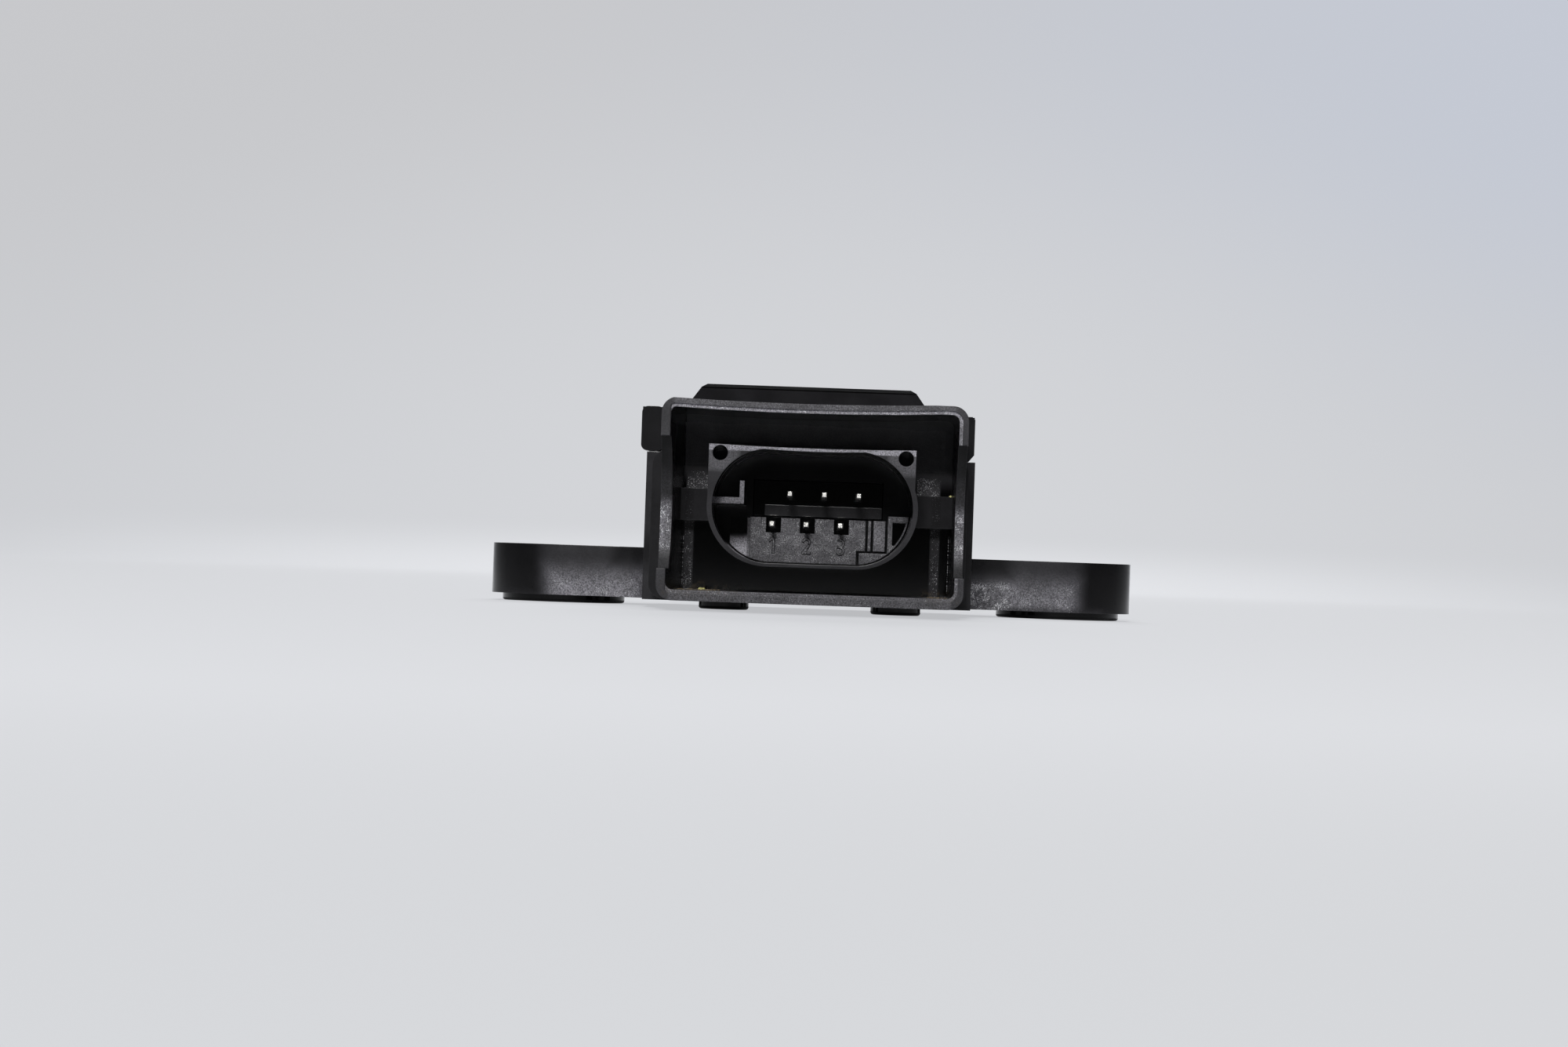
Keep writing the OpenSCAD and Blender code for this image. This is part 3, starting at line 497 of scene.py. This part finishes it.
def fibred_skin(tree, flow, finish, fleck):
    """The skin's colour with the areas' painted light and shade, mottled where it is rough, with
    the fibres in it.
    """
    skin, rough, coverage = finish
    fibres = use(tree, FLECKS, Patchiness=0.75, Coverage=coverage)
    drift = map_range(tree, flow, 0.3, 0.7, 0.75, 1.15)
    coarse = map_range(tree, rough, 0.2, 0.44, 0.06, 0.62)
    mottle = math_node(tree, "ADD", 1.0, math_node(tree, "MULTIPLY", fibres["Mottle"], coarse))
    tone = math_node(tree, "MULTIPLY", math_node(tree, "MULTIPLY", drift, skin), mottle)
    colour = tree.nodes.new("ShaderNodeCombineColor")
    for slot, share in zip(colour.inputs, SKIN_TINT):
        tree.links.new(math_node(tree, "MULTIPLY", tone, share), slot)
    return mix_colour(tree, fibres["Mask"], colour.outputs[0], fleck)


def dust_film(tree, place, x, y, z, fade):
    """A thin film of dust, broken into patches."""
    thin = map_range(tree, noise(tree, place, 1900.0, 4.0, 0.65), 0.42, 0.66)
    film = math_node(tree, "MULTIPLY", patch_mask(tree, place, x, y, z, fade), thin)
    return math_node(tree, "MULTIPLY", film, DUST_SHARE)


def painted_glint_line(tree, place, x, y, z, fade):
    """A painted highlight line that shows in some places only."""
    broken = map_range(tree, noise(tree, place, 4400.0, 1.0, 0.5), 0.46, 0.62)
    return math_node(tree, "MULTIPLY", patch_mask(tree, place, x, y, z, fade), broken)


def grained_normal(tree, grain, wear, rough, grain_depth):
    """Grain and soft edges where the skin is rough, and a clean face where it is smooth."""
    grained = bump(tree, grain["Height"], wear["Soft Normal"], grain_depth, 0.5)
    face = tree.nodes.new("ShaderNodeNewGeometry")
    smooth = map_range(tree, rough, 0.32, 0.14)
    normal = mix_colour(tree, smooth, grained, face.outputs["Normal"])
    return vector_node(tree, "NORMALIZE", normal)


def glass_filled_plastic(name, base, fleck, grain_depth, areas, dusty=(), painted_glints=(),
                         outlined=(), edge_width=0.13 * MM):
    """Black glass-filled plastic: a dark skin with fibres, and rubbed edges.

    base is the finish outside the areas. The skin is nearly black, so its grey comes
    mostly from how rough it is, and from the light and shade that areas paint into it.
    """
    material, tree, shader = new_material(name)
    place = object_place(tree)
    grain = use(tree, GRAIN)
    wear = use(tree, WEAR, Edge_width=edge_width)
    skin, rough, coverage = finish_areas(tree, place, areas, base)
    # Painted shade along the edges of the raised numbers.
    for spans in outlined:
        edge = math_node(tree, "MULTIPLY", wear["Edge"], patch_mask(tree, place, *spans))
        skin, rough, coverage = paint_shade_on_raised_edges(tree, edge, (skin, rough, coverage))
    skin, rough = matt_upward_faces(tree, skin, rough)
    colour = fibred_skin(tree, grain["Flow"], (skin, rough, coverage), fleck)
    for spans in dusty:
        colour = mix_colour(tree, dust_film(tree, place, *spans), colour, DUST_BROWN)
    # Painted highlights along the wall bases.
    for spans in painted_glints:
        colour = mix_colour(tree, painted_glint_line(tree, place, *spans), colour, PAINTED_GLINT_GREY)
    rub = math_node(tree, "MULTIPLY", wear["Mask"], math_node(tree, "MULTIPLY", rough, 1.2))
    tree.links.new(mix_colour(tree, rub, colour, RUBBED_GREY), shader.inputs["Base Color"])
    uneven = map_range(tree, grain["Flow"], 0.25, 0.75, 0.98, 1.03)
    tree.links.new(math_node(tree, "MULTIPLY", uneven, rough), shader.inputs["Roughness"])
    tree.links.new(grained_normal(tree, grain, wear, rough, grain_depth),
                   shader.inputs["Normal"])
    shader.inputs["IOR"].default_value = 1.5
    shader.inputs["Specular IOR Level"].default_value = 0.2
    return material


def plated_metal(name, colour, dull, rough, edge_width=0.08 * MM):
    """Bright plating with faint drawing lines and duller patches."""
    material, tree, shader = new_material(name)
    place = object_place(tree)
    stretch = tree.nodes.new("ShaderNodeMapping")
    stretch.inputs["Scale"].default_value = (1.0, 0.08, 1.0)
    tree.links.new(place, stretch.inputs["Vector"])
    lines = noise(tree, stretch.outputs["Vector"], 9000.0, 2.0, 0.5)
    patches = noise(tree, place, 900.0, 3.0, 0.6)
    mask = map_range(tree, patches, 0.35, 0.7)
    tree.links.new(mix_colour(tree, mask, colour, dull), shader.inputs["Base Color"])
    shader.inputs["Metallic"].default_value = 1.0
    tree.links.new(map_range(tree, lines, 0.3, 0.7, rough - 0.06, rough + 0.1),
                   shader.inputs["Roughness"])
    wear = use(tree, WEAR, Edge_width=edge_width)
    tree.links.new(bump(tree, lines, wear["Soft Normal"], 0.01 * MM, 0.3),
                   shader.inputs["Normal"])
    return material


def moulded_body(name, colour, spot, rough):
    """A small electronic part: one body colour, faint mottling, soft edges."""
    material, tree, shader = new_material(name)
    grain = use(tree, GRAIN, Grain_per_metre=14000.0)
    wear = use(tree, WEAR, Edge_width=0.1 * MM)
    mottle = map_range(tree, grain["Flow"], 0.3, 0.7)
    body = mix_colour(tree, mottle, colour, spot)
    rubbed = tuple(min(1.0, c * 1.6 + 0.01) for c in colour)
    tree.links.new(mix_colour(tree, wear["Mask"], body, rubbed), shader.inputs["Base Color"])
    tree.links.new(map_range(tree, grain["Height"], 0.3, 0.7, rough - 0.06, rough + 0.06),
                   shader.inputs["Roughness"])
    tree.links.new(bump(tree, grain["Height"], wear["Soft Normal"], 0.02 * MM, 0.4),
                   shader.inputs["Normal"])
    return material


def board_laminate():
    """Green solder mask over a faint woven glass cloth."""
    material, tree, shader = new_material("green board laminate")
    place = object_place(tree)
    axes = split_axes(tree, place)
    waves = [math_node(tree, "SINE", math_node(tree, "MULTIPLY", axes[axis], 9000.0))
             for axis in ("X", "Y")]
    weave = map_range(tree, math_node(tree, "MULTIPLY", *waves), -1.0, 1.0)
    tree.links.new(mix_colour(tree, weave, (0.016, 0.12, 0.05), (0.024, 0.17, 0.07)),
                   shader.inputs["Base Color"])
    patches = noise(tree, place, 500.0)
    tree.links.new(map_range(tree, patches, 0.3, 0.7, 0.22, 0.34), shader.inputs["Roughness"])
    tree.links.new(bump(tree, weave, None, 0.01 * MM, 0.3), shader.inputs["Normal"])
    return material


def dress_cad_nodes():
    housing = glass_filled_plastic("housing plastic", (0.013, 0.22, 0.04), (0.5, 0.5, 0.52),
                                   0.02 * MM, HOUSING_AREAS, dusty=DUSTY_CORNERS,
                                   painted_glints=PAINTED_GLINTS)
    lid = glass_filled_plastic("lid plastic", (0.008, 0.18, 0.0), (0.3, 0.3, 0.32),
                               0.015 * MM, LID_AREAS)
    carrier = glass_filled_plastic("carrier plastic", (0.003, 0.16, 0.0), (0.3, 0.3, 0.31),
                                   0.015 * MM, CARRIER_AREAS, outlined=NUMBER_EDGE_SHADE,
                                   edge_width=0.18 * MM)
    tin = plated_metal("tin plating", (0.80, 0.79, 0.75), (0.62, 0.61, 0.58), 0.24, 0.03 * MM)
    zinc = plated_metal("zinc plating", (0.60, 0.60, 0.58), (0.42, 0.42, 0.40), 0.34)
    solder = plated_metal("solder", (0.74, 0.74, 0.72), (0.55, 0.55, 0.54), 0.2)
    can = plated_metal("crystal can", (0.68, 0.67, 0.64), (0.55, 0.54, 0.51), 0.3)
    resin = moulded_body("chip resin", (0.028, 0.028, 0.03), (0.022, 0.022, 0.024), 0.5)
    seal = moulded_body("cured sealant", (0.02, 0.02, 0.022), (0.03, 0.03, 0.032), 0.38)
    yellow = moulded_body("tantalum resin", (0.62, 0.38, 0.07), (0.56, 0.33, 0.05), 0.42)
    tan = moulded_body("fired ceramic", (0.42, 0.31, 0.2), (0.36, 0.26, 0.17), 0.45)
    black = moulded_body("resistor glaze", (0.04, 0.04, 0.042), (0.05, 0.05, 0.05), 0.3)
    ferrite = moulded_body("ferrite", (0.09, 0.082, 0.078), (0.07, 0.064, 0.06), 0.5)
    finishes = {
        "housing": housing, "cover": lid, "cover_seal": seal, "terminal_carrier": carrier,
        "bush_left": zinc, "bush_right": zinc, "circuit_board": board_laminate(),
        "solder_joints": solder, "yaw_rate_chip": resin, "accelerometer_chip": resin,
        "controller_chip": resin, "controller_leads": solder, "transceiver_chip": resin,
        "transceiver_leads": solder, "voltage_regulator": resin, "crystal": can,
        "tantalum_capacitors": yellow, "ceramic_capacitors": tan, "chip_resistors": black,
        "choke": ferrite,
    }
    finishes.update({f"terminal_{number}": tin for number in range(1, 7)})
    for name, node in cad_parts.items():
        node.data.materials.clear()
        node.data.materials.append(finishes[name])


# Dust and crumbs caught in the collar

def make_crumb_scatter():
    """Scatters small uneven crumbs over the faces of a mesh and drops the mesh."""
    tree = bpy.data.node_groups.new("crumb scatter", "GeometryNodeTree")
    tree.interface.new_socket("Geometry", in_out="INPUT", socket_type="NodeSocketGeometry")
    for label, kind in (("Crumbs per square metre", "NodeSocketFloat"),
                        ("Smallest", "NodeSocketFloat"), ("Largest", "NodeSocketFloat"),
                        ("Seed", "NodeSocketInt"), ("Material", "NodeSocketMaterial")):
        tree.interface.new_socket(label, in_out="INPUT", socket_type=kind)
    tree.interface.new_socket("Geometry", in_out="OUTPUT", socket_type="NodeSocketGeometry")
    given = tree.nodes.new("NodeGroupInput").outputs
    scatter = tree.nodes.new("GeometryNodeDistributePointsOnFaces")
    crumb = tree.nodes.new("GeometryNodeMeshIcoSphere")
    size = tree.nodes.new("FunctionNodeRandomValue")
    turn = tree.nodes.new("FunctionNodeRandomValue")
    place = tree.nodes.new("GeometryNodeInstanceOnPoints")
    solid = tree.nodes.new("GeometryNodeRealizeInstances")
    dress = tree.nodes.new("GeometryNodeSetMaterial")
    result = tree.nodes.new("NodeGroupOutput")
    crumb.inputs["Radius"].default_value = 1.0
    crumb.inputs["Subdivisions"].default_value = 1
    size.data_type = turn.data_type = "FLOAT_VECTOR"
    turn.inputs["Max"].default_value = (6.28, 6.28, 6.28)
    links = (
        (given["Geometry"], scatter.inputs["Mesh"]),
        (given["Crumbs per square metre"], scatter.inputs["Density"]),
        (given["Seed"], scatter.inputs["Seed"]),
        (given["Seed"], size.inputs["Seed"]),
        (given["Smallest"], size.inputs["Min"]),
        (given["Largest"], size.inputs["Max"]),
        (scatter.outputs["Points"], place.inputs["Points"]),
        (crumb.outputs["Mesh"], place.inputs["Instance"]),
        (turn.outputs["Value"], place.inputs["Rotation"]),
        (size.outputs["Value"], place.inputs["Scale"]),
        (place.outputs["Instances"], solid.inputs["Geometry"]),
        (solid.outputs["Geometry"], dress.inputs["Geometry"]),
        (given["Material"], dress.inputs["Material"]),
        (dress.outputs["Geometry"], result.inputs["Geometry"]),
    )
    for start, stop in links:
        tree.links.new(start, stop)
    return tree


def scatter_crumbs(name, tree, spots, material, density, smallest, largest, seed):
    """Crumbs on the flat spots given, as one plain mesh that rides with the housing."""
    points = []
    faces = []
    for x0, x1, y0, y1, z in spots:
        first = len(points)
        points += [(x * MM, y * MM, z * MM)
                   for x, y in ((x0, y0), (x1, y0), (x1, y1), (x0, y1))]
        faces.append((first, first + 1, first + 2, first + 3))
    bed = bpy.data.meshes.new(f"{name}_bed")
    bed.from_pydata(points, [], faces)
    piece = bpy.data.objects.new(name, bed)
    bpy.context.scene.collection.objects.link(piece)
    modifier = piece.modifiers.new("crumbs", "NODES")
    modifier.node_group = tree
    values = {"Crumbs per square metre": density, "Smallest": smallest * MM,
              "Largest": largest * MM, "Seed": seed, "Material": material}
    for socket in tree.interface.items_tree:
        if socket.in_out == "INPUT" and socket.name in values:
            modifier[socket.identifier] = values[socket.name]
    shown = piece.evaluated_get(bpy.context.evaluated_depsgraph_get())
    mesh = bpy.data.meshes.new_from_object(shown)
    piece.modifiers.clear()
    piece.data = mesh
    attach(piece, "root")


def crumb_material(name, dark, pale):
    """Dry matt crumbs, each a slightly different shade."""
    material, tree, shader = new_material(name)
    shade = map_range(tree, noise(tree, object_place(tree), 5200.0, 2.0, 0.5), 0.35, 0.65)
    tree.links.new(mix_colour(tree, shade, dark, pale), shader.inputs["Base Color"])
    shader.inputs["Roughness"].default_value = 0.85
    return material


def lay_dust():
    tree = make_crumb_scatter()
    brown = crumb_material("brown road dust", (0.10, 0.075, 0.045), (0.26, 0.20, 0.12))
    yellow = crumb_material("yellow crumbs", (0.36, 0.34, 0.12), (0.55, 0.52, 0.24))
    web_top = 14.22
    corners = [(-15.4, -10.5, RIM_Y + 1.5, RIM_Y + 17.8, COLLAR_FLOOR_Z),
               (13.6, 15.9, RIM_Y + 2.0, RIM_Y + 17.8, COLLAR_FLOOR_Z)]
    scatter_crumbs("collar_dust", tree, corners, brown, density=1.6e6, smallest=0.02,
                   largest=0.075, seed=7)
    clumps = [(-12.8, -12.2, RIM_Y + 8.7, RIM_Y + 9.1, COLLAR_FLOOR_Z + 0.12),
              (16.05, 16.2, RIM_Y + 15.1, RIM_Y + 15.4, web_top)]
    scatter_crumbs("collar_crumbs", tree, clumps, yellow, density=6.0e7, smallest=0.08,
                   largest=0.2, seed=3)


# Floor, light and camera

def backdrop_material():
    """Pale matt paper. The camera sees it mostly by its own glow, over a soft shadow; a painted
    pool of light makes it paler round the part.
    """
    floor_tone = (0.60, 0.61, 0.635)
    wall_left = (0.575, 0.58, 0.60)
    wall_right = (0.555, 0.585, 0.655)
    painted_pool_round_part = (0.655, 0.665, 0.69)
    foreground = (0.58, 0.59, 0.61)
    material, tree, shader = new_material("pale paper")
    shader.inputs["Roughness"].default_value = 0.9
    place = object_place(tree)
    axes = split_axes(tree, place)
    height = map_range(tree, axes["Z"], 0.0, 0.22)
    side = map_range(tree, axes["X"], -0.2, 0.35)
    upper = mix_colour(tree, side, wall_left, wall_right)
    pale = mix_colour(tree, height, floor_tone, upper)
    flat = vector_node(tree, "MULTIPLY", place, (1.0, 0.0, 1.4))
    reach = vector_node(tree, "LENGTH", flat, output="Value")
    # Painted pool of light: paler paper round the part.
    centre = map_range(tree, reach, 0.42, 0.04)
    pale = mix_colour(tree, centre, pale, painted_pool_round_part)
    near = map_range(tree, axes["Y"], -0.28, -0.385)
    pale = mix_colour(tree, near, pale, foreground)
    tree.links.new(pale, shader.inputs["Base Color"])
    glow = tree.nodes.new("ShaderNodeEmission")
    tree.links.new(pale, glow.inputs["Color"])
    seen = tree.nodes.new("ShaderNodeLightPath")
    mirrored = math_node(tree, "MULTIPLY", seen.outputs["Is Glossy Ray"], 0.15)
    either = math_node(tree, "MAXIMUM", seen.outputs["Is Camera Ray"], mirrored)
    wall = map_range(tree, axes["Z"], 0.0, 0.02, 0.75, 1.0)
    blend = tree.nodes.new("ShaderNodeMixShader")
    tree.links.new(math_node(tree, "MULTIPLY", either, wall), blend.inputs[0])
    tree.links.new(shader.outputs[0], blend.inputs[1])
    tree.links.new(glow.outputs[0], blend.inputs[2])
    tree.links.new(blend.outputs[0], tree.nodes["Material Output"].inputs["Surface"])
    return material


def build_sweep():
    """A floor that curves up into a wall behind, in one sheet."""
    half = 3.0
    front, bend, radius, top = -0.43, 0.7, 0.5, 2.5
    steps = 16
    profile = [(front, 0.0), (bend, 0.0)]
    for step in range(1, steps + 1):
        angle = math.pi / 2 * step / steps
        profile.append((bend + radius * math.sin(angle), radius * (1 - math.cos(angle))))
    profile.append((bend + radius, top))
    gap_below_part = 0.02 * MM
    points = [(x, y, z - gap_below_part) for y, z in profile for x in (-half, half)]
    faces = [(2 * i, 2 * i + 1, 2 * i + 3, 2 * i + 2) for i in range(len(profile) - 1)]
    mesh = bpy.data.meshes.new("paper_sweep")
    mesh.from_pydata(points, [], faces)
    for face in mesh.polygons:
        face.use_smooth = True
    sweep = bpy.data.objects.new("paper_sweep", mesh)
    bpy.context.scene.collection.objects.link(sweep)
    mesh.materials.append(backdrop_material())


def area_light(name, place, target, size, power):
    lamp = bpy.data.lights.new(name, "AREA")
    lamp.shape = "RECTANGLE"
    lamp.size, lamp.size_y = size
    lamp.energy = power
    holder = bpy.data.objects.new(name, lamp)
    holder.location = place
    aim = Vector(target) - Vector(place)
    holder.rotation_euler = aim.to_track_quat("-Z", "Y").to_euler()
    bpy.context.scene.collection.objects.link(holder)


def build_lights():
    middle = (0.0, -0.02, 0.012)
    area_light("key_above_camera", (-0.07, -0.85, 0.36), middle, size=(0.16, 0.12), power=7.0)
    area_light("overhead", (0.0, 0.10, 0.75), middle, size=(0.5, 0.4), power=3.4)
    area_light("behind", (0.0, 0.90, 0.42), middle, size=(0.4, 0.3), power=5.0)
    world = bpy.data.worlds.new("studio")
    world.use_nodes = True
    tree = world.node_tree
    soft = tree.nodes["Background"]
    soft.inputs["Color"].default_value = (0.62, 0.64, 0.68, 1.0)
    soft.inputs["Strength"].default_value = 0.07
    pale = tree.nodes.new("ShaderNodeBackground")
    pale.inputs["Color"].default_value = (0.62, 0.63, 0.66, 1.0)
    seen = tree.nodes.new("ShaderNodeLightPath")
    blend = tree.nodes.new("ShaderNodeMixShader")
    tree.links.new(seen.outputs["Is Camera Ray"], blend.inputs[0])
    tree.links.new(soft.outputs[0], blend.inputs[1])
    tree.links.new(pale.outputs[0], blend.inputs[2])
    tree.links.new(blend.outputs[0], tree.nodes["World Output"].inputs["Surface"])
    bpy.context.scene.world = world


def build_camera():
    lens = bpy.data.cameras.new("camera")
    lens.sensor_width = SENSOR_WIDTH
    lens.sensor_fit = "HORIZONTAL"
    lens.lens = SENSOR_WIDTH * FOCAL_IN_PIXELS / PHOTO_WIDTH
    lens.clip_start = 0.002
    lens.clip_end = 20.0
    ahead = Vector((math.sin(CAMERA_YAW) * math.cos(CAMERA_PITCH),
                    math.cos(CAMERA_YAW) * math.cos(CAMERA_PITCH), math.sin(CAMERA_PITCH)))
    level = Vector((math.cos(CAMERA_YAW), -math.sin(CAMERA_YAW), 0.0))
    upright = level.cross(ahead)
    right = level * math.cos(CAMERA_ROLL) + upright * math.sin(CAMERA_ROLL)
    up = upright * math.cos(CAMERA_ROLL) - level * math.sin(CAMERA_ROLL)
    turn = Matrix((right, up, -ahead)).transposed().to_4x4()
    camera = bpy.data.objects.new("camera", lens)
    camera.matrix_world = Matrix.Translation(CAMERA_PLACE) @ turn
    bpy.context.scene.collection.objects.link(camera)
    bpy.context.scene.camera = camera


build_camera()
dress_cad_nodes()
lay_dust()
build_sweep()
build_lights()
bpy.context.scene.view_settings.view_transform = "Standard"
